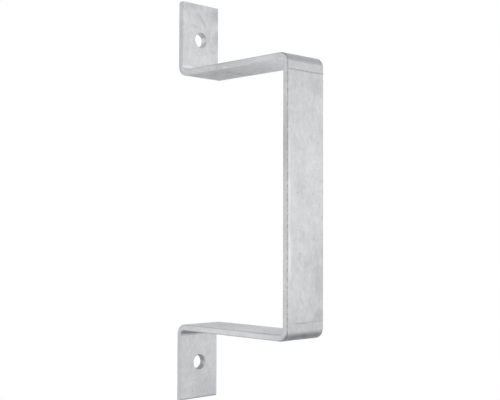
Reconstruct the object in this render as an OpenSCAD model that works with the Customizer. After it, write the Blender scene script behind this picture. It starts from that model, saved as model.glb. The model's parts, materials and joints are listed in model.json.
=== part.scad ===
// Gate U-bracket: one length of flat steel bar, folded square in four places and hot-dip galvanised.
// Two legs stand flat against the gate or wall, and the U between them stands out from it.
// X runs out from the mounting face, Y runs across the bar and Z runs up.
// The origin lies on the mounting face, midway between the two bolt holes.

/* [Flat bar] */
// Width of the flat bar
bar_width = 40; // [25:1:60]
// Thickness of the flat bar
bar_thickness = 5; // [3:0.5:8]
// Radius of the bar's four rolled edges
edge_radius = 0.6; // [0.3:0.1:1.2]

/* [Folds] */
// Clear height between the two arms
clear_height = 205; // [80:1:400]
// Clear depth from the mounting face to the inside of the web
clear_depth = 120; // [50:1:250]
// Length of each leg, from the arm's inner face to the leg's cut end
leg_length = 62.5; // [50:0.5:120]
// Radius on the inside of every fold
bend_radius = 3; // [2:0.5:8]

/* [Bolt holes] */
// Diameter of the punched bolt holes
hole_diameter = 12; // [5:0.5:14]
// Distance from each leg's cut end to the middle of its hole
hole_to_end = 30; // [15:0.5:34]
// Rounding that the punch leaves round the front of each hole
hole_rounding = 0.5; // [0.2:0.1:1]

/* [Shop marks] */
// Rounding that the shear leaves on the wall side of the upper leg's end
upper_cut_rounding = 2.5; // [0.5:0.5:2.5]
// Rounding that the shear leaves on the front of the lower leg's end
lower_cut_rounding = 1.5; // [0.5:0.5:2.5]
// Distance from each of the web's folds to the line that the die pressed in
die_line_offset = 5; // [1:0.5:10]
// Width of a die line
die_line_width = 1; // [0.5:0.1:2]
// Depth of the die line at the web's upper end
upper_die_line_depth = 0.15; // [0.05:0.05:0.2]
// Depth of the fainter die line at the web's lower end
lower_die_line_depth = 0.05; // [0.05:0.05:0.2]

/* [Hidden] */
$fn = 64;

// Length beyond a face that a cutting shape reaches, so that it cuts cleanly through
overcut = 1;

hole_radius = hole_diameter / 2;
middle_radius = bend_radius + bar_thickness / 2;
fold_reach = bend_radius + bar_thickness;
overall_height = clear_height + 2 * leg_length;
web_face = clear_depth + bar_thickness;
hole_height = overall_height / 2 - hole_to_end;
die_line_height = clear_height / 2 - bend_radius - die_line_offset;

leg_run = leg_length - fold_reach;
arm_run = web_face - 2 * fold_reach;
web_run = clear_height - 2 * bend_radius;

// The bar's way from the lower cut end to the upper one.
// Each stage is a straight run and the side that the fold after it turns to:
// 1 is out from the wall or down, -1 is back towards it or up, and 0 is the cut end.
bar_path = [[leg_run, 1], [arm_run, -1], [web_run, -1], [arm_run, 1], [leg_run, 0]];

// Cross-section of the rolled bar, with its thickness along X and its width along Y
module bar_section() {
    inner_thickness = bar_thickness - 2 * edge_radius;
    inner_width = bar_width - 2 * edge_radius;
    square([inner_thickness, bar_width], center = true);
    square([bar_thickness, inner_width], center = true);
    for (side = [-1, 1], edge = [-1, 1])
        translate([side * inner_thickness / 2, edge * inner_width / 2])
            circle(r = edge_radius);
}

// A square fold of the bar that starts at the origin, heading up, and turns towards side
module fold(side) {
    translate([side * middle_radius, 0, 0])
        rotate([90, 0, 0])
            rotate_extrude(angle = side * -90, start = side > 0 ? 180 : 0)
                translate([middle_radius, 0])
                    bar_section();
}

// Moves what follows a fold to the fold's end, so that it heads the way the bar now goes
module after_fold(side) {
    translate([side * middle_radius, 0, middle_radius])
        rotate([0, side * 90, 0])
            children();
}

// The bar from one stage of its path to the cut end, each stage starting where the last one stopped
module folded_bar(path, stage = 0) {
    run = path[stage][0];
    side = path[stage][1];
    linear_extrude(height = run)
        bar_section();
    if (side != 0)
        translate([0, 0, run]) {
            fold(side);
            after_fold(side)
                folded_bar(path, stage + 1);
        }
}

// What the punch takes out of a leg: a straight hole with a rounded mouth on the front
module punched_hole() {
    mouth_radius = hole_radius + hole_rounding;
    rotate([0, 90, 0])
        rotate_extrude() {
            translate([0, -overcut])
                square([hole_radius, bar_thickness + overcut]);
            difference() {
                translate([0, bar_thickness - hole_rounding])
                    square([mouth_radius, hole_rounding + overcut]);
                translate([mouth_radius, bar_thickness - hole_rounding])
                    circle(r = hole_rounding);
            }
        }
}

// What the shear rounds off an edge across the bar: the edge lies on Y and the steel is towards +X and +Z
module cut_rounding(radius) {
    length = bar_width + 2 * overcut;
    rotate([90, 0, 0])
        linear_extrude(height = length, center = true)
            difference() {
                translate([-overcut, -overcut])
                    square(radius + overcut);
                translate([radius, radius])
                    circle(r = radius);
            }
}

// A shallow round-bottomed line across the web's face, as deep and as wide as asked
module die_line(width, depth) {
    groove_radius = (width * width / 4 + depth * depth) / (2 * depth);
    translate([groove_radius - depth, 0, 0])
        rotate([90, 0, 0])
            cylinder(r = groove_radius, h = bar_width + 2 * overcut, center = true);
}

module bracket() {
    color("silver")
        difference() {
            translate([bar_thickness / 2, 0, -overall_height / 2])
                folded_bar(bar_path);
            for (end = [-1, 1])
                translate([0, 0, end * hole_height])
                    punched_hole();
            translate([0, 0, overall_height / 2])
                mirror([0, 0, 1])
                    cut_rounding(upper_cut_rounding);
            translate([bar_thickness, 0, -overall_height / 2])
                mirror([1, 0, 0])
                    cut_rounding(lower_cut_rounding);
            translate([web_face, 0, die_line_height])
                die_line(die_line_width, upper_die_line_depth);
            translate([web_face, 0, -die_line_height])
                die_line(die_line_width, lower_die_line_depth);
        }
}

bracket();
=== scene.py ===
# %% [markdown]
# A gate U-bracket of hot-dip galvanised steel
#
# The object is one flat bar, 40 mm wide and 5 mm thick. It was cut to length, punched, folded square in
# four places and dipped in molten zinc. This lesson follows the smith: it rolls the bar, punches and
# shears it, presses the marks of the tools into it, folds it, and gives it its zinc. The CAD model is
# loaded first, because it fixes where the bracket stands and how large it is. The bar stays within its box.

# %% Load the frame
import json
import math

import bmesh
import bpy
from mathutils import Matrix, Vector, noise


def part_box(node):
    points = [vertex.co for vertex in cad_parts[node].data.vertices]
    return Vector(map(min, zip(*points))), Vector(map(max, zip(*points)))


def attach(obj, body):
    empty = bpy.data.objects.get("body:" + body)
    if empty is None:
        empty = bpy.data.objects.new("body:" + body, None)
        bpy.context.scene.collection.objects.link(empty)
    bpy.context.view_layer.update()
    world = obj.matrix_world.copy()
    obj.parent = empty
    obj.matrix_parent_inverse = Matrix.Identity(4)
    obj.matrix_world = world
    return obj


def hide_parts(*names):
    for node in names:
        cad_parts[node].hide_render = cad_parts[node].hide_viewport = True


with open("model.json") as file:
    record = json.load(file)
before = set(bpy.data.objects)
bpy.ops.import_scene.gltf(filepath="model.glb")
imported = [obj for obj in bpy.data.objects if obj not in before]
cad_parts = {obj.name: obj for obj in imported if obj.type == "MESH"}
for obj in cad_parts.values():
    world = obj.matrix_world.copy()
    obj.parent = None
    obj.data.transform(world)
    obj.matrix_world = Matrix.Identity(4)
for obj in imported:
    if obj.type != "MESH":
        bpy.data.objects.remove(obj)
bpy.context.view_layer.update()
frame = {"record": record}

MM = 0.001
low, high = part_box("bracket")
bar_width = high.y - low.y
web_face = high.x
overall_height = high.z - low.z
print("CAD box, mm:", [round((high[i] - low[i]) / MM, 1) for i in range(3)])

# %% [markdown]
# The camera
#
# The photograph looks at the bracket from its front left corner, with the lens a little below its middle.
# The camera's place and angles were found by matching the bracket's corners to their places in the
# photograph, with the real sizes held. A long lens, 69 mm on a 36 mm sensor, gives the photograph's weak
# perspective. Roll comes last in the chain of turns, because it spins the camera about its own line of
# sight.

# %% Set up the camera
camera_place = Vector((611.1, -532.3, -27.3)) * MM
camera_turn = math.radians(45.73)
camera_pitch = math.radians(91.96)
camera_roll = math.radians(0.18)
lens_length = 69.16
sensor_width = 36.0

camera_data = bpy.data.cameras.new("camera")
camera_data.lens = lens_length
camera_data.sensor_width = sensor_width
camera_data.clip_start = 0.01
camera = bpy.data.objects.new("camera", camera_data)
camera.matrix_world = (
    Matrix.Translation(camera_place)
    @ Matrix.Rotation(camera_turn, 4, "Z")
    @ Matrix.Rotation(camera_pitch, 4, "X")
    @ Matrix.Rotation(camera_roll, 4, "Z")
)
bpy.context.scene.collection.objects.link(camera)
bpy.context.scene.camera = camera
print("camera to web:", round((camera_place - Vector((web_face, 0, 0))).length, 3), "m")

# %% [markdown]
# Adding nodes
#
# Materials and the world are graphs of nodes. One small function adds a node, sets its options, and fills
# its inputs: a node or a socket becomes a link, and anything else becomes the input's constant. Colours are
# written as the sRGB hex values that one reads off a picture, and a second function turns them into the
# linear light that the renderer works in.

# %% Helpers for nodes and colours
def linear(hex_colour):
    """An sRGB hex colour as linear RGBA."""
    channels = [int(hex_colour[i : i + 2], 16) / 255 for i in (1, 3, 5)]
    return (*[c / 12.92 if c <= 0.04045 else ((c + 0.055) / 1.055) ** 2.4 for c in channels], 1.0)


def add(tree, kind, inputs=(), **options):
    """A new node with its options set and its inputs filled, each by a link or a constant."""
    node = tree.nodes.new(kind)
    for name, value in options.items():
        setattr(node, name, value)
    for key, value in dict(inputs).items():
        named = [s for s in node.inputs if s.enabled and s.name == key]
        socket = named[0] if named else node.inputs[key]
        if isinstance(value, bpy.types.Node):
            value = next(s for s in value.outputs if s.enabled)
        if isinstance(value, bpy.types.NodeSocket):
            tree.links.new(value, socket)
        else:
            socket.default_value = value
    return node


# %% [markdown]
# The studio
#
# Zinc is a soft mirror, so what stands round the bracket decides how it looks. The photograph tells of a
# pale room: the upright faces mirror bright walls at the height of the bracket, while the folds, which turn
# up and down, mirror a dimmer ceiling and floor. The world is made like that. It is white from the floor to
# some way up the walls and grey overhead, and the camera, glossy and transmitted rays all see it so.
# Diffuse rays get a dimmer fill, and large soft lamps give the rest of the light its direction.

# %% Build the world
wall_white = linear("#FFFFFF")
ceiling_grey = linear("#D4D5D5")
wall_top = math.sin(math.radians(20))
ceiling_start = math.sin(math.radians(26))
fill_level = 0.9

world = bpy.data.worlds.new("studio")
bpy.context.scene.world = world
world.use_nodes = True
sky = world.node_tree
sky.nodes.clear()
height = add(sky, "ShaderNodeSeparateXYZ", {"Vector": add(sky, "ShaderNodeTexCoord").outputs["Generated"]})
overhead = add(
    sky,
    "ShaderNodeMapRange",
    {"Value": height.outputs["Z"], "From Min": wall_top, "From Max": ceiling_start},
    interpolation_type="SMOOTHSTEP",
)
room = add(sky, "ShaderNodeMix", {"Factor": overhead, "A": wall_white, "B": ceiling_grey}, data_type="RGBA")


def sees_room(tree):
    """1 for a camera, glossy or transmission ray and 0 for the others, as a node of that tree."""
    rays = add(tree, "ShaderNodeLightPath").outputs
    seen = rays["Is Camera Ray"]
    for ray in ("Is Glossy Ray", "Is Transmission Ray"):
        seen = add(tree, "ShaderNodeMath", {0: seen, 1: rays[ray]}, operation="MAXIMUM")
    return seen


room_shown = add(sky, "ShaderNodeBackground", {"Color": room, "Strength": 1.0})
fill = add(sky, "ShaderNodeBackground", {"Color": wall_white, "Strength": fill_level})
either = add(sky, "ShaderNodeMixShader", {0: sees_room(sky), 1: fill, 2: room_shown})
add(sky, "ShaderNodeOutputWorld", {"Surface": either})
print("world nodes:", len(sky.nodes))

# %% Hang the lamps
def soft_lamp(name, place, aim, size, power):
    """A square lamp that faces a point, with its power in watts."""
    data = bpy.data.lights.new(name, "AREA")
    data.shape = "SQUARE"
    data.size = size
    data.energy = power
    lamp = bpy.data.objects.new(name, data)
    towards = Vector(aim) - Vector(place)
    lamp.matrix_world = Matrix.Translation(place) @ towards.to_track_quat("-Z", "Y").to_matrix().to_4x4()
    bpy.context.scene.collection.objects.link(lamp)
    print(name, "at", round(towards.length, 2), "m")


middle = (web_face / 2, 0, 0)
soft_lamp("front_lamp", (1.5, 0.9, 0.35), middle, size=1.4, power=1.2)
soft_lamp("side_lamp", (-0.6, -1.7, 0.45), middle, size=1.4, power=0.4)

# %% [markdown]
# The floor
#
# The bracket hangs free over a pale floor, as it would on its gate, so the floor lies some way under it.
# Round the bracket the floor is plain pale paint that takes the light and the shadow. Far out it turns into
# the white of the walls, for camera, glossy and transmitted rays alike, so that no horizon shows. The
# change goes by the distance from the middle of the floor, so it stays where it is from every side. A
# camera that looks up from 30 degrees below the bracket still stands over the floor.

# %% Lay the floor
floor_height = low.z - 0.35
floor_size = 60.0
painted_radius = 0.86
white_radius = 1.22
floor_paint = linear("#D3D4D5")

floor_mesh = bpy.data.meshes.new("floor")
work = bmesh.new()
bmesh.ops.create_grid(work, x_segments=1, y_segments=1, size=floor_size / 2)
bmesh.ops.translate(work, vec=(0, 0, floor_height), verts=work.verts)
work.to_mesh(floor_mesh)
work.free()
floor = bpy.data.objects.new("floor", floor_mesh)
bpy.context.scene.collection.objects.link(floor)

matt_paint = bpy.data.materials.new("matt_floor_paint")
matt_paint.use_nodes = True
paint = matt_paint.node_tree
paint.nodes.clear()
flat_place = add(
    paint,
    "ShaderNodeVectorMath",
    {0: add(paint, "ShaderNodeTexCoord").outputs["Object"], 1: (1, 1, 0)},
    operation="MULTIPLY",
)
radius = add(paint, "ShaderNodeVectorMath", {0: flat_place}, operation="LENGTH").outputs["Value"]
far_out = add(
    paint,
    "ShaderNodeMapRange",
    {"Value": radius, "From Min": painted_radius, "From Max": white_radius},
    interpolation_type="SMOOTHSTEP",
)
whitened = add(paint, "ShaderNodeMath", {0: far_out, 1: sees_room(paint)}, operation="MULTIPLY")
painted = add(paint, "ShaderNodeBsdfDiffuse", {"Color": floor_paint})
white = add(paint, "ShaderNodeEmission", {"Color": wall_white, "Strength": 1.0})
surface = add(paint, "ShaderNodeMixShader", {0: whitened, 1: painted, 2: white})
add(paint, "ShaderNodeOutputMaterial", {"Surface": surface})
floor_mesh.materials.append(matt_paint)
print("floor at", round(floor_height, 3), "m")

# %% [markdown]
# The bar's way
#
# The real bracket starts as a straight length of bar, and so does the model. Every tool mark is made while
# the bar is straight, where it is a plain question of how far along and how far across. One function then
# says where each station along the bar ends up: it walks the straight runs and the folds just as the CAD
# source does, and gives the turned and moved frame at that distance. Bending the finished mesh by that
# function keeps the marks in place and stretches the outside of each fold as a real fold is stretched.

# %% Measure the path
bar_thickness = 5 * MM
edge_radius = 0.6 * MM
bend_radius = 3 * MM
leg_length = 62.5 * MM

middle_radius = bend_radius + bar_thickness / 2
fold_reach = bend_radius + bar_thickness
fold_length = middle_radius * math.pi / 2
leg_run = leg_length - fold_reach
arm_run = web_face - 2 * fold_reach
web_run = overall_height - 2 * leg_length - 2 * bend_radius

# Each stage is a straight run and the side that the fold after it turns to.
bar_path = [(leg_run, 1), (arm_run, -1), (web_run, -1), (arm_run, 1), (leg_run, 0)]
fold_starts = []
reached = 0.0
for run, side in bar_path:
    reached += run
    if side:
        fold_starts.append(reached)
        reached += fold_length
bar_length = reached
print("straight bar, mm:", round(bar_length / MM, 2), "folds at", [round(s / MM, 1) for s in fold_starts])


def bar_frame(distance):
    """The bar's own frame at a distance from its lower end: X through, Y across, Z the way it heads."""
    at = Matrix.Translation((bar_thickness / 2, 0, low.z))
    for run, side in bar_path:
        if distance <= run or not side:
            return at @ Matrix.Translation((0, 0, distance))
        distance -= run
        turn = min(distance / fold_length, 1) * math.pi / 2
        to_pivot = Matrix.Translation((side * middle_radius, 0, run))
        from_pivot = Matrix.Translation((-side * middle_radius, 0, 0))
        at = at @ to_pivot @ Matrix.Rotation(side * turn, 4, "Y") @ from_pivot
        if distance <= fold_length:
            return at
        distance -= fold_length


# %% [markdown]
# The straight bar
#
# A small grid, as wide as the bar and as thick, is the bar's cut end. Spin with no angle is a plain
# extrusion, and it draws the end out to the next mark along the bar, where subdivide_edges cuts the new
# stretch into rings. The rings stand a millimetre apart on the straight runs and closer in the folds, at
# the cut ends and under the die lines, where the shape changes faster. Drawing 700 rings one by one would
# give the same mesh, but slowly, because each operator looks at the whole mesh. The four long edges are
# then bevelled to the radius that the rolling mill leaves, and the two ends lose their sharp rim to the
# zinc.

# %% Draw out the bar
cell = 1 * MM
fine_cell = 0.25 * MM
fold_cell = 0.4 * MM
end_zone = 2.5 * MM
rim_zone = 0.5 * MM
die_line_offset = 5 * MM
die_line_zone = 1 * MM
cells_through = 4

web_start = fold_starts[1] + fold_length
web_end = web_start + web_run
die_lines = [web_start + die_line_offset, web_end - die_line_offset]

# Places along the bar up to which a spacing of the rings holds.
marks = [(rim_zone, rim_zone), (end_zone, fine_cell), (bar_length - end_zone, cell)]
marks += [(bar_length - rim_zone, fine_cell), (bar_length, rim_zone)]
marks += [(start, cell) for start in fold_starts]
marks += [(start + fold_length, fold_cell) for start in fold_starts]
marks += [(line - die_line_zone, cell) for line in die_lines]
marks += [(line + die_line_zone, fine_cell) for line in die_lines]
marks.sort()

# Two places closer than this, in metres, count as one.
near = 1e-6

# A grid's size is half its side, so this one is 1 m square before it is scaled to the bar's section.
bar = bmesh.new()
bmesh.ops.create_grid(bar, x_segments=cells_through, y_segments=round(bar_width / cell), size=0.5)
bmesh.ops.scale(bar, vec=(bar_thickness, bar_width, 1), verts=bar.verts)
far_end = bar.verts[:] + bar.edges[:] + bar.faces[:]
reached = 0.0
for mark, spacing in marks:
    onwards = Vector((0, 0, mark - reached))
    far_end = bmesh.ops.spin(bar, geom=far_end, axis=(0, 0, 1), dvec=onwards, angle=0, steps=1)["geom_last"]
    reached = mark

reached = 0.0
for mark, spacing in marks:
    stretch = [e for e in bar.edges if abs(e.verts[0].co.z - e.verts[1].co.z) > near]
    stretch = [e for e in stretch if all(reached - near < v.co.z < mark + near for v in e.verts)]
    rings = round((mark - reached) / spacing)
    bmesh.ops.subdivide_edges(bar, edges=stretch, cuts=rings - 1, use_grid_fill=True)
    reached = mark
bmesh.ops.recalc_face_normals(bar, faces=bar.faces)
print("rings:", len({round(v.co.z, 6) for v in bar.verts}), "faces:", len(bar.faces))

# %% Round the rolled edges and the cut rims
half_thickness = bar_thickness / 2
half_width = bar_width / 2
rim_radius = 0.35 * MM

# A face looks along an axis where its normal's part along that axis is larger than this.
facing = 0.9


def round_edges(edges, radius, segments):
    """Bevels edges of the bar to a radius."""
    bmesh.ops.bevel(
        bar,
        geom=edges,
        offset=radius,
        offset_type="OFFSET",
        affect="EDGES",
        segments=segments,
        profile=0.5,
        material=-1,
    )


def is_corner(vert):
    """Whether a vertex lies on one of the bar's four long edges."""
    return abs(abs(vert.co.x) - half_thickness) < near and abs(abs(vert.co.y) - half_width) < near


def is_rim(edge):
    """Whether an edge lies between a cut end, which faces along the bar, and one of the sides."""
    faces_end = [abs(face.normal.z) > facing for face in edge.link_faces]
    return any(faces_end) and not all(faces_end)


rolled = [edge for edge in bar.edges if is_corner(edge.verts[0]) and is_corner(edge.verts[1])]
round_edges(rolled, edge_radius, segments=3)
bar.normal_update()
rims = [edge for edge in bar.edges if is_rim(edge)]
round_edges(rims, rim_radius, segments=2)
print("rolled edges:", len(rolled), "rim edges:", len(rims))

# %% [markdown]
# The bolt holes
#
# A punch drives a round slug out of each leg. The hole's mouth is drawn in to a small radius, its wall
# closes in a little towards the back, where the steel tore and the zinc gathered, and the zinc rounds the
# back edge. A window is cut in both faces of the bar, 16 cells wide and 17 long. Its rim is then extruded
# again and again, and each new ring is cast to a circle about the hole's middle, so the rings follow the
# profile of the hole's wall from the front to the back. The cells between window and mouth are cut across,
# so they stay even. Bridging the window to a finished circle would also do, but two loops in one plane may
# join twisted.

# %% Draw the profile of the hole's wall
bolts = next(mount for mount in frame["record"]["mounts"] if mount["name"] == "leg_bolts")
hole_radius = bolts["dims"]["hole_r_mm"] * MM
hole_to_end = (overall_height - bolts["dims"]["spacing_y_mm"] * MM) / 2
mouth_radius = 0.5 * MM
back_radius = 0.2 * MM
taper = 0.7 * MM
hole_window = 8.25 * cell
spoke_cuts = 3


def quarter(steps):
    """The sines and cosines of even steps through a right angle."""
    turns = [math.pi / 2 * i / steps for i in range(steps + 1)]
    return [(math.sin(turn), math.cos(turn)) for turn in turns]


# Pairs of place through the bar and radius, from the mouth in the front face to the edge in the back one.
hole_profile = [
    (half_thickness - mouth_radius * (1 - cos), hole_radius + mouth_radius * (1 - sin))
    for sin, cos in quarter(4)
]
# The wall narrows evenly from 1 mm in front of the bar's middle to 1 mm behind it.
hole_profile += [(depth * MM, hole_radius - taper * (1 - depth) / 2) for depth in (1, 0, -1)]
hole_profile += [
    (back_radius * (1 - sin) - half_thickness, hole_radius - taper + back_radius * (1 - cos))
    for sin, cos in quarter(2)
]
print("hole profile, mm:", [(round(x / MM, 2), round(r / MM, 2)) for x, r in hole_profile])


# %% Punch a hole in each leg
def cast_ring(rim, through, radius, hole_place):
    """Extrudes a rim, moves the new ring to a circle about the hole's middle, and gives the ring's edges."""
    drawn = bmesh.ops.extrude_edge_only(bar, edges=rim)["geom"]
    ring = {v for v in drawn if isinstance(v, bmesh.types.BMVert)}
    for vert in ring:
        outwards = Vector((0, vert.co.y, vert.co.z - hole_place)).normalized()
        vert.co = Vector((through, 0, hole_place)) + outwards * radius
    return [e for e in drawn if isinstance(e, bmesh.types.BMEdge) and all(v in ring for v in e.verts)]


def in_window(face, hole_place):
    """Whether a face is on the bar's front or back and within the window round a hole's middle."""
    middle = face.calc_center_median()
    reach = max(abs(middle.y), abs(middle.z - hole_place))
    return abs(face.normal.x) > facing and reach < hole_window


for hole_place in (hole_to_end, bar_length - hole_to_end):
    window = [face for face in bar.faces if in_window(face, hole_place)]
    bmesh.ops.delete(bar, geom=window, context="FACES")
    rims = [e for e in bar.edges if e.is_boundary]
    front_rim = [e for e in rims if e.verts[0].co.x > 0]
    back_rim = [e for e in rims if e.verts[0].co.x < 0]
    front_ring = cast_ring(front_rim, *hole_profile[0], hole_place)
    back_ring = cast_ring(back_rim, *hole_profile[-1], hole_place)
    rings = front_ring + back_ring
    # A dict's keys are each there once, as in a set, but they keep their order from run to run.
    touching = dict.fromkeys(e for edge in rings for vert in edge.verts for e in vert.link_edges)
    spokes = [e for e in touching if e not in rings]
    bmesh.ops.subdivide_edges(bar, edges=spokes, cuts=spoke_cuts, use_grid_fill=True)
    for through, radius in hole_profile[1:]:
        front_ring = cast_ring(front_ring, through, radius, hole_place)
    meeting = dict.fromkeys(v for edge in front_ring + back_ring for v in edge.verts)
    bmesh.ops.remove_doubles(bar, verts=list(meeting), dist=near)
    print("hole at", round(hole_place / MM, 1), "mm:", len(window), "window faces,", len(spokes), "spokes")
bmesh.ops.recalc_face_normals(bar, faces=bar.faces)
open_edges = sum(not edge.is_manifold for edge in bar.edges)
triangles = sum(len(face.verts) - 2 for face in bar.faces)
print("open edges:", open_edges, "triangles:", triangles)

# %% [markdown]
# Places on the bar
#
# The finish has to follow the bar round its folds: streaks run along it, and lines and painted highlights
# keep to its edges. So every vertex now notes where it lies on the straight bar, through, across and along
# it, in metres. Two more notes give its distance from the nearest edge, be it a rolled edge, a cut end or a
# hole, and what lies along that edge: a thin dark line along the web's front edges and round the holes, or
# a painted highlight, a bright rim along the near edge under the upper arm and on top of the lower arm,
# that lightens the dark reflection along those edges. The material reads all three.

# %% Note the places
place_note = bar.verts.layers.float_vector.new("bar_place")
edge_note = bar.verts.layers.float.new("edge_distance")
edge_line_and_highlight_note = bar.verts.layers.float.new("edge_line_and_highlight")
hole_places = (hole_to_end, bar_length - hole_to_end)
lower_leg, lower_arm, web, upper_arm, upper_leg = range(len(bar_path))

# Run of the bar, whether the edge is on its front, whether it is on its side at -Y, and the level there:
# 1 is the darkest line and -1 the brightest painted highlight.
edge_lines_and_highlights = {
    (web, True, True): 0.85,
    (web, True, False): 0.8,
    # Painted highlights: bright rims that lighten the dark reflections along the arms' near edges.
    (lower_arm, False, True): -0.12,
    (upper_arm, False, True): -0.7,
}
hole_rim_lines = (0.5, 0.1)


def edge_distance(point):
    """How far a point on the bar's skin is from the nearest edge, and from each hole."""
    from_face = half_thickness - abs(point.x)
    from_side = half_width - abs(point.y)
    from_end = min(point.z, bar_length - point.z)
    from_holes = [math.hypot(point.y, point.z - place) - hole_radius for place in hole_places]
    rolled_edge = math.hypot(from_face, from_side)
    cut_edge = math.hypot(from_end, min(from_face, from_side))
    hole_edge = math.hypot(from_face, max(min(from_holes), 0))
    return min(rolled_edge, cut_edge, hole_edge), from_holes


def run_at(along):
    """Which straight run of the bar is nearest to a place along it."""
    return sum(along > start + fold_length / 2 for start in fold_starts)


for vert in bar.verts:
    vert[place_note] = vert.co
    vert[edge_note], from_holes = edge_distance(vert.co)
    vert[edge_line_and_highlight_note] = edge_lines_and_highlights.get((run_at(vert.co.z), vert.co.x > 0, vert.co.y < 0), 0.0)
    for from_hole, hole_rim_line in zip(from_holes, hole_rim_lines):
        if from_hole < cell:
            vert[edge_line_and_highlight_note] = hole_rim_line
print("noted", len(bar.verts), "places")

# %% [markdown]
# Patches of wear and of painted light
#
# The bath and the yard leave soft patches: a scrape and finger marks on the upper leg, a darker stretch of
# the web's side, paler zinc down the middle of the web. Other patches are painted light and shade: painted
# shade on the inner faces of the U, under the upper arm and on top of the lower arm, a painted reflection of
# the dark floor as a band round the outside of the web's lower fold, a fainter painted reflection of the dim
# ceiling over the top of the web and the outside of its upper fold, a painted shadow in the inner corner of
# the lower leg's fold, a painted highlight in the inner corner of the upper leg's fold, and painted light on
# the hole walls, brighter in the upper hole and darker in the lower one. Each is an oval, given by the run
# it lies on, its middle through, across and along that run, its half sizes the same way round, all in
# millimetres, its slant in degrees and its strength, which is above 0 for a dull patch and below 0 for a
# bright one. A shallow oval reaches one face of the bar and not the opposite one. They are rubbed into a
# note of the vertices, so a patch stays on its own face and follows the bar.

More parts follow.
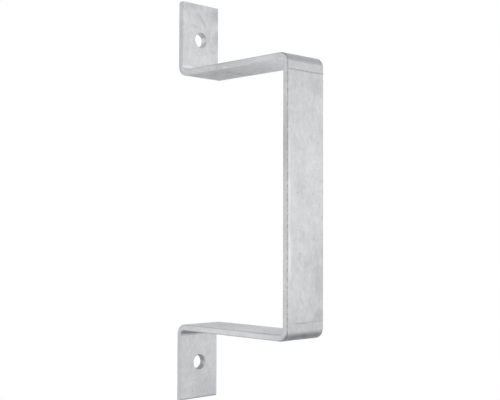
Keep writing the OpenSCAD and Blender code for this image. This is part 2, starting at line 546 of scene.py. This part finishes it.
# %% Rub in the patches
patch_note = bar.verts.layers.float.new("patch")
front, back, near_side = 2.5, -2.5, -20
shallow = 1.5
patches = [
    (upper_leg, (front, 2, 13.5), (shallow, 2.2, 11), -38, 0.2),
    (upper_leg, (front, -12, 26), (shallow, 9, 5), 0, 0.14),
    (upper_leg, (front, 17, 20), (shallow, 7, 10), 0, 0.2),
    (upper_leg, (front, 19, 1), (shallow, 7, 10), 0, 0.24),
    (upper_leg, (front, -7, 8.5), (shallow, 7, 1.6), 0, 0.1),
    (upper_leg, (front, 0, 24), (shallow, 60, 14), 0, 0.07),
    (upper_leg, (front, 0, 27.2), (shallow, 60, 1), 0, 0.25),
    (upper_leg, (front, 0, -20), (shallow, 30, 16), 0, -0.16),
    # Painted highlight in the inner corner of the upper leg's fold, and painted light on the upper hole's
    # wall.
    (upper_leg, (front, -15, -31.5), (2, 16, 8), 0, -0.8),
    (upper_leg, (-0.2, 0, -2.7), (2.6, 14, 14), 0, -0.9),
    (upper_leg, (0, near_side, 0), (4, shallow, 60), 0, 0.14),
    # Painted shade under the upper arm, inside the U.
    (upper_arm, (back, 0, 65), (shallow, 80, 75), 0, 0.42),
    (upper_arm, (back, 0, 0), (shallow, 80, 65), 0, 0.34),
    (upper_arm, (back, 2, 19), (shallow, 25, 9), 25, 0.08),
    (upper_arm, (2, near_side, 10), (1.2, shallow, 24), 0, 0.3),
    (upper_arm, (-1, near_side, 15), (1.3, shallow, 2.5), 0, 0.3),
    (upper_arm, (-2, near_side, 6), (1, shallow, 5), 0, -0.5),
    (upper_arm, (0, near_side, -38), (4, shallow, 16), 0, -0.2),
    (web, (front, 0, 94.5), (shallow, 60, 0.8), 0, 0.32),
    (web, (front, -5, -94.5), (shallow, 13, 0.9), 0, 0.3),
    (web, (front, 9, -94), (shallow, 10, 0.9), 0, 0.15),
    # Painted reflection of the dim ceiling over the top of the web and the outside of its upper fold.
    (web, (front, 0, 105), (shallow, 60, 30), 0, 0.13),
    (web, (front, 13, 84), (shallow, 10, 13), 0, 0.1),
    (web, (front, 0, 15), (shallow, 60, 70), 0, -0.14),
    (web, (front, -17, -45), (shallow, 3, 25), 0, -0.25),
    (web, (front, -11.5, 44), (shallow, 1.8, 7), -35, 0.14),
    (web, (front, -6, 4), (shallow, 5.5, 7), 0, 0.1),
    (web, (front, -1.5, 7), (shallow, 1.6, 1.6), 0, 0.25),
    (web, (front, -8.5, 3), (shallow, 1.6, 2.4), 20, 0.22),
    (web, (front, -3.5, -1.5), (shallow, 2.4, 1.6), 0, 0.2),
    (web, (front, 8.5, -31), (shallow, 4, 5.5), 30, 0.14),
    (web, (front, -6, -43), (shallow, 3, 3.5), 0, 0.14),
    (web, (front, 0.5, -52), (shallow, 5, 4), -40, 0.12),
    (web, (front, 14, -66), (shallow, 9, 17), 0, 0.18),
    (web, (front, 15, -89), (shallow, 8, 8), 0, 0.2),
    (web, (front, 4, -80), (shallow, 4, 8), 25, 0.1),
    (web, (front, 0, -98), (shallow, 60, 16), 0, 0.1),
    (web, (back, near_side, 36), (shallow, shallow, 46), 0, 0.33),
    (web, (0.6, near_side, 30), (0.5, shallow, 25), 0, -0.25),
    (web, (front, near_side, 105.5), (shallow, shallow, 3.5), 0, 0.6),
    (web, (front, near_side, 35), (shallow, shallow, 45), 0, 0.1),
    (web, (front, -18, -15), (shallow, 1.6, 90), 0, -0.35),
    (web, (front, 20.5, -25), (shallow, 2.5, 90), 0, 0.25),
    (web, (0, near_side, 38), (4, shallow, 32), 0, 0.2),
    # Painted shade on top of the lower arm, inside the U.
    (lower_arm, (back, 0, -30), (shallow, 80, 70), 0, 0.34),
    (lower_arm, (back, 0, 50), (shallow, 80, 50), 0, 0.33),
    (lower_arm, (0, near_side, 0), (4, shallow, 90), 0, -0.33),
    (lower_arm, (back, near_side, 35), (shallow, shallow, 20), 0, 0.25),
    (lower_arm, (2.2, near_side, 58.5), (2.4, shallow, 5.5), 0, 0.45),
    # Painted reflection of the dark floor: a dark band round the outside of the web's lower fold.
    (lower_arm, (front, 0, 57.5), (shallow, 80, 4.6), 0, 0.58),
    (lower_arm, (front, 0, 60), (shallow, 80, 2), 0, 0.36),
    # Painted shade on the lower hole's wall.
    (lower_leg, (0, 0, 2.7), (4, 9, 9), 0, 0.8),
    (lower_leg, (front, 0, 18), (shallow, 60, 16), 0, -0.12),
    (lower_leg, (0, near_side, 0), (4, shallow, 60), 0, 0.08),
    # Painted shadow in the inner corner of the lower leg's fold.
    (lower_leg, (front, 0, 28.8), (2, 60, 3.8), 0, 0.8),
    (lower_leg, (front, 8, -20), (shallow, 22, 16), 0, 0.08),
    (lower_leg, (front, 17, -27), (shallow, 6, 1.8), 0, 0.3),
]


def patch_at(point, middle, half_sizes, slant):
    """From 1 in the middle of an oval patch to 0 at its rim."""
    offset = Matrix.Rotation(math.radians(slant), 3, "X") @ (point - middle)
    reach = sum((offset[i] / (half_sizes[i] * MM)) ** 2 for i in range(3))
    return max(1 - reach, 0) ** 2


run_middles = []
reached = 0.0
for run, _ in bar_path:
    run_middles.append(reached + run / 2)
    reached += run + fold_length

for run, middle, half_sizes, slant, strength in patches:
    middle = Vector(middle) * MM + Vector((0, 0, run_middles[run]))
    widest = max(half_sizes) * MM
    for vert in bar.verts:
        if abs(vert.co.z - middle.z) < widest:
            vert[patch_note] += strength * patch_at(vert.co, middle, half_sizes, slant)
print("patches:", len(patches), "dullest:", round(max(v[patch_note] for v in bar.verts), 2))

# %% [markdown]
# The marks of the tools
#
# A shear squeezes the edge that it meets first into a round, on the wall side of the upper end and on the
# front of the lower one. The folding die leaves a fine line across the web beside each fold. In a fold the
# steel inside the bend is squeezed and swells sideways, and the steel outside it is drawn in. All of these
# are vertex moves on the straight bar, worked out from how far along it a vertex lies. At the end the whole
# bar is narrowed until its widest fold is as wide as the bar should be.

# %% Shear the ends
upper_cut_rounding = 2.5 * MM
lower_cut_rounding = 1.5 * MM


def shear_end(vert, from_end, inwards, rounding, rounded_side):
    """Rounds one face of the bar at a cut end, by crowding the last rings and thinning them."""
    turn = math.pi / 2 * from_end / rounding
    kept = 1 - rounding * (1 - math.sin(turn)) / bar_thickness
    opposite = -rounded_side * half_thickness
    vert.co.x = opposite + (vert.co.x - opposite) * kept
    vert.co.z += inwards * (rounding * (1 - math.cos(turn)) - from_end)


for vert in bar.verts:
    from_lower, from_upper = vert.co.z, bar_length - vert.co.z
    if from_lower < lower_cut_rounding:
        shear_end(vert, from_lower, 1, lower_cut_rounding, 1)
    elif from_upper < upper_cut_rounding:
        shear_end(vert, from_upper, -1, upper_cut_rounding, -1)
print("sheared both ends")

# %% Press the die lines
die_line_width = 1 * MM
die_line_depths = (0.05 * MM, 0.15 * MM)

for line, depth in zip(die_lines, die_line_depths):
    pressed = [v for v in bar.verts if v.co.x > half_thickness - near]
    pressed = [v for v in pressed if abs(v.co.z - line) < die_line_width / 2]
    for vert in pressed:
        vert.co.x -= depth * math.cos(math.pi * (vert.co.z - line) / die_line_width)
    print("die line at", round(line / MM, 1), "mm:", len(pressed), "points")

# %% Swell the folds
swell = 0.12 * MM
draw_in = 0.3 * MM
swell_reach = 2 * MM
folds = [(start, turn_side) for start, (_, turn_side) in zip(fold_starts, bar_path)]

for vert in bar.verts:
    for start, turn_side in folds:
        through_fold = (vert.co.z - start + swell_reach) / (fold_length + 2 * swell_reach)
        if 0 < through_fold < 1:
            squeezed = turn_side * vert.co.x / half_thickness
            sideways = squeezed * (swell if squeezed > 0 else draw_in)
            vert.co.y *= 1 + sideways * math.sin(math.pi * through_fold) ** 2 / half_width
narrowed = half_width / max(v.co.y for v in bar.verts)
for vert in bar.verts:
    vert.co.y *= narrowed
print("bar narrowed to", round(narrowed * bar_width / MM, 2), "mm")

# %% [markdown]
# The skin of the zinc
#
# Molten zinc freezes into a skin that is never quite flat. Two sizes of noise, a few millimetres and about
# a centimetre across, press the skin in by a few hundredths of a millimetre along its normals, always
# inwards, so the bracket stays within its box.

# %% Roughen the skin
skin_depth = 0.035 * MM
skin_grain = 4 * MM
skin_wave = 14 * MM

bar.normal_update()
normals = [v.normal.copy() for v in bar.verts]
for vert, normal in zip(bar.verts, normals):
    place = Vector(vert[place_note])
    grain = noise.noise(place / skin_grain)
    wave = noise.noise(place / skin_wave)
    vert.co -= normal * skin_depth * (1 + (grain + wave) / 2)
print("skin up to", round(2 * skin_depth / MM, 3), "mm deep")

# %% [markdown]
# The folding
#
# Every vertex is carried to where its station along the bar ends up. The bar is then a mesh in the shared
# frame, its object stays at the origin, and it stands for the CAD node of the same shape.

# %% Fold the bar
for vert in bar.verts:
    vert.co = bar_frame(vert.co.z) @ Vector((vert.co.x, vert.co.y, 0))
bar_mesh = bpy.data.meshes.new("folded_bar")
bar.to_mesh(bar_mesh)
bar.free()
bar_mesh.polygons.foreach_set("use_smooth", [True] * len(bar_mesh.polygons))
folded_bar = bpy.data.objects.new("folded_bar", bar_mesh)
bpy.context.scene.collection.objects.link(folded_bar)
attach(folded_bar, "root")
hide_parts("bracket")
print("folded bar:", len(bar_mesh.vertices), "vertices")

# %% [markdown]
# The zinc
#
# Hot-dip galvanised steel is bright for a few days and then turns a soft pale grey. It is still a metal, so
# it mirrors the room in its own colour, but a thin film scatters a part of the light, which is why the
# metallic value stays below 1. Its skin froze in crystals too fine to tell apart, so the tone drifts over a
# few centimetres, is mottled every few millimetres and has faint streaks along the bar, where the zinc ran
# off. Every pattern is a noise in the bar's own places, moved well apart from the others, so that no two of
# them agree.

# %% Lay out the patterns of the zinc
zinc = bpy.data.materials.new("hot_dip_galvanised_steel")
zinc.use_nodes = True
tree = zinc.node_tree
tree.nodes.clear()
place = add(tree, "ShaderNodeAttribute", attribute_name="bar_place").outputs["Vector"]

# Each pattern's patch size across the bar, how many times as long its patches are, and its octaves of detail
pattern_sizes = {
    "drift": (30 * MM, 1.5, 1.0),
    "clouds": (8 * MM, 1.3, 2.0),
    "mottle": (2.8 * MM, 1.3, 3.0),
    "streaks": (1.1 * MM, 20, 1.0),
    "breaks": (1.3 * MM, 2.5, 2.0),
    "tint": (12 * MM, 1.3, 1.0),
    "grain": (0.6 * MM, 1, 1.0),
}
pattern_spacing = 7.3
patterns = {}
for name, (size, stretch, detail) in pattern_sizes.items():
    apart = [pattern_spacing * len(patterns)] * 3
    scale = (1 / size, 1 / size, 1 / (size * stretch))
    moved = add(tree, "ShaderNodeMapping", {"Vector": place, "Location": apart, "Scale": scale})
    patterns[name] = add(tree, "ShaderNodeTexNoise", {"Vector": moved, "Scale": 1.0, "Detail": detail})
print("patterns:", ", ".join(patterns))

# %% [markdown]
# Wear, painted shade and painted highlights
#
# The notes on the vertices and the patterns become shares between 0 and 1, each the product of what shapes
# it. The dark line keeps to within a millimetre of an edge and is broken up. The clamp leaves the dull half
# of the patches, with their painted shade, or, with the sign turned, the bright half, with their painted
# highlights; the bright rims along the arms' edges are painted highlights as well. A few dark pits lie where
# a scatter of cells a centimetre wide has its centres.

# %% Work out the wear and the painted light
edge, edge_line_and_highlight_level, patch = [
    add(tree, "ShaderNodeAttribute", attribute_name=name).outputs["Fac"]
    for name in ("edge_distance", "edge_line_and_highlight", "patch")
]
pit_size = 9 * MM
pit_cells = add(tree, "ShaderNodeTexVoronoi", {"Vector": place, "Scale": 1 / pit_size})

# Value, the range that is read, and the range that it becomes
ramps = {
    "at edge": (edge, 0.3 * MM, 0.85 * MM, 1.0, 0.0),
    "broken": (patterns["breaks"], 0.4, 0.6, 0.15, 1.0),
    "uneven": (patterns["clouds"], 0.3, 0.7, 0.8, 1.2),
    "tint": (patterns["tint"], 0.55, 0.75, 0.0, 0.35),
    "pit": (pit_cells.outputs["Distance"], 0.02, 0.06, 0.4, 0.0),
    "roughness": (patterns["mottle"], 0.3, 0.7, 0.32, 0.23),
}
shares = {}
for name, values in ramps.items():
    sockets = ("Value", "From Min", "From Max", "To Min", "To Max")
    shares[name] = add(tree, "ShaderNodeMapRange", dict(zip(sockets, values)))

products = {
    "dull patch and painted shade": (patch, shares["uneven"], 1.0),
    "bright patch and painted highlight": (patch, shares["uneven"], -1.0),
    "dark edge": (edge_line_and_highlight_level, shares["at edge"], shares["broken"]),
    "painted edge highlight": (edge_line_and_highlight_level, shares["at edge"], -1.0),
}
for name, (first, second, third) in products.items():
    pair = add(tree, "ShaderNodeMath", {0: first, 1: second}, operation="MULTIPLY")
    shares[name] = add(tree, "ShaderNodeMath", {0: pair, 1: third}, operation="MULTIPLY", use_clamp=True)
print("shares:", ", ".join(shares))

# %% [markdown]
# Colour
#
# The tone is the sum of the patterns about a middle grey. The wear, the painted shade and the painted
# highlights are then laid over it, one colour after the other, as thin films are.

# %% Colour the zinc
dull_zinc = linear("#AFB0B2")
bright_zinc = linear("#DDDEE0")
tone_shares = {"drift": 0.4, "clouds": 0.45, "mottle": 0.48, "streaks": 0.2}
laid_colours = {
    "tint": linear("#C2C7C8"),
    "pit": linear("#7E8082"),
    # The dull patches carry painted shade as well as marks, and the bright ones painted highlights.
    "dull patch and painted shade": linear("#7E8082"),
    "bright patch and painted highlight": linear("#F4F4F5"),
    "dark edge": linear("#8C8E90"),
    # A painted highlight along the arms' near edges.
    "painted edge highlight": linear("#F4F4F5"),
}

tone = 0.5
for name, share in tone_shares.items():
    centred = add(tree, "ShaderNodeMath", {0: patterns[name], 1: 0.5}, operation="SUBTRACT")
    tone = add(tree, "ShaderNodeMath", {0: centred, 1: share, 2: tone}, operation="MULTIPLY_ADD")
tone = add(tree, "ShaderNodeClamp", {"Value": tone})
colour = add(tree, "ShaderNodeMix", {"Factor": tone, "A": dull_zinc, "B": bright_zinc}, data_type="RGBA")
for name, laid_colour in laid_colours.items():
    colour = add(tree, "ShaderNodeMix", {"Factor": shares[name], "A": colour, "B": laid_colour}, data_type="RGBA")
print("colour nodes:", len(tree.nodes))

# %% [markdown]
# Surface
#
# Where the patches are dull, the marks and the painted shade alike, the surface is rougher and less of a
# metal, as under a film of white rust, which scatters the light instead of mirroring it. The bump carries
# the finest grain, a few hundredths of a millimetre high, and the pits.

# %% Finish the zinc
bright_metal = 0.8
dull_patch_metal = -0.6
dull_patch_roughness = 0.25
grain_height = 0.2
relief_strength = 0.17
relief_depth = 0.1 * MM

# Each is a share times a factor, plus what there is without it.
weighted = {
    "roughness": (shares["dull patch and painted shade"], dull_patch_roughness, shares["roughness"]),
    "metallic": (shares["dull patch and painted shade"], dull_patch_metal, bright_metal),
    "relief": (patterns["grain"], grain_height, patterns["mottle"]),
}
qualities = {}
for name, (share, factor, rest) in weighted.items():
    qualities[name] = add(tree, "ShaderNodeMath", {0: share, 1: factor, 2: rest}, operation="MULTIPLY_ADD")
pitted = add(tree, "ShaderNodeMath", {0: qualities["relief"], 1: shares["pit"]}, operation="SUBTRACT")
relief = {"Strength": relief_strength, "Distance": relief_depth, "Height": pitted}
bump = add(tree, "ShaderNodeBump", relief)
shader = add(
    tree,
    "ShaderNodeBsdfPrincipled",
    {
        "Base Color": colour,
        "Metallic": qualities["metallic"],
        "Roughness": qualities["roughness"],
        "Normal": bump,
    },
)
add(tree, "ShaderNodeOutputMaterial", {"Surface": shader})
bar_mesh.materials.append(zinc)
print("zinc nodes:", len(tree.nodes))

# %% [markdown]
# Colours as they are written
#
# The Standard view shows a colour just as the lights leave it.

# %% Finish
bpy.context.scene.view_settings.view_transform = "Standard"
